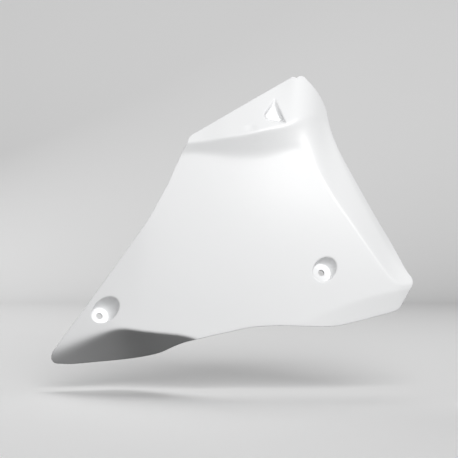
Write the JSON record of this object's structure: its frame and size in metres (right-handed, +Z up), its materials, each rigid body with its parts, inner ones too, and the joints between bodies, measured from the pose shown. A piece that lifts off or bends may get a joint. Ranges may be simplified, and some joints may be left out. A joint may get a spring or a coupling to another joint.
{
  "type": "motorcycle side fairing panel",
  "caption": "One-piece moulded side fairing panel with a joint flange along its top edge, a folded-under lower lip and tapered recesses for its fixing screws.",
  "frame": {"origin": "centre of the rear screw hole, in the middle of the recess floor's wall", "axes": "+X to the rear corner along the panel's length, -Y out of the outer face towards the viewer, +Z up towards the joint flange"},
  "size_m": [0.4001, 0.1099, 0.3209],
  "materials": {
    "gelcoat_white": "glossy white gelcoat over a fibre laminate"
  },
  "bodies": {
    "root": {"side_fairing": "gelcoat_white"}
  },
  "joints": []
}
